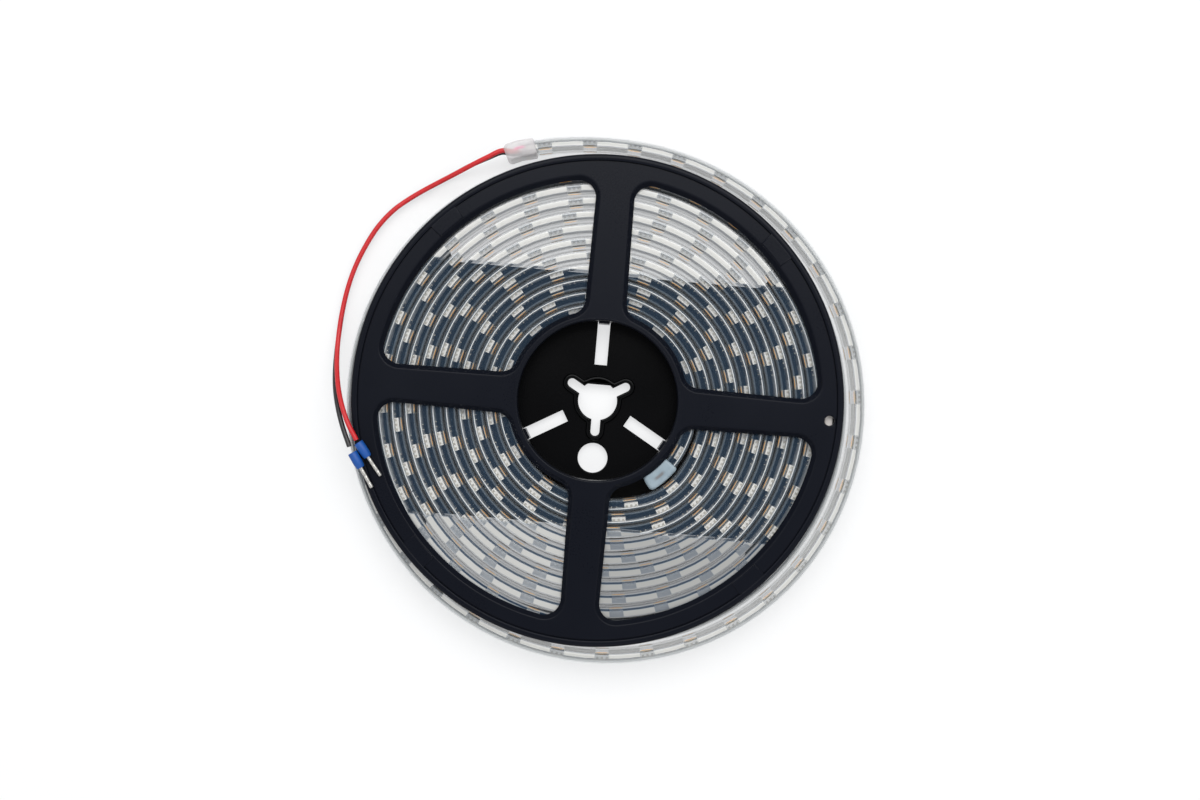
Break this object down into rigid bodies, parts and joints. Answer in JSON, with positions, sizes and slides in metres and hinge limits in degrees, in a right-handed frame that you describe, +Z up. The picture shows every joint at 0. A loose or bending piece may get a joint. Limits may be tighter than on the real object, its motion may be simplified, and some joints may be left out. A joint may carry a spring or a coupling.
{
  "type": "led strip light reel",
  "caption": "Clear-sleeved LED strip light wound on a moulded reel with front windows and a keyed hub, its red and black supply wires ending in ferrules.",
  "frame": {"origin": "middle of the footprint of the reel and its wound strip, on the surface that the rear flange lies on", "axes": "+Z up along the reel's axis, away from the rear flange; +X along the front spoke that has the small rim hole; +Y along the next spoke anticlockwise from it seen from above"},
  "size_m": [0.1958, 0.1906, 0.0215],
  "materials": {
    "black_plastic": "satin moulded",
    "clear_silicone": "clear glossy silicone",
    "milky_silicone": "milky translucent silicone",
    "white_circuit": "white flexible circuit with yellow phosphor in the lamps",
    "solder": "bright solder",
    "red_jacket": "smooth PVC",
    "black_jacket": "smooth PVC",
    "blue_plastic": "satin moulded",
    "tinned_copper": "tinned, slightly dull"
  },
  "bodies": {
    "root": {"front_flange": "black_plastic", "rear_flange": "black_plastic", "strip_sleeve": "clear_silicone", "circuit_section_01": "white_circuit", "circuit_section_02": "white_circuit", "circuit_section_03": "white_circuit", "circuit_section_04": "white_circuit", "circuit_section_05": "white_circuit", "circuit_section_06": "white_circuit", "circuit_section_07": "white_circuit", "circuit_section_08": "white_circuit", "circuit_section_09": "white_circuit", "circuit_section_10": "white_circuit", "inner_end_cap": "milky_silicone", "outer_end_cap": "milky_silicone", "red_solder_joint": "solder", "black_solder_joint": "solder", "red_wire": "red_jacket", "black_wire": "black_jacket", "red_ferrule_collar": "blue_plastic", "red_ferrule_pin": "tinned_copper", "black_ferrule_collar": "blue_plastic", "black_ferrule_pin": "tinned_copper"}
  },
  "joints": []
}
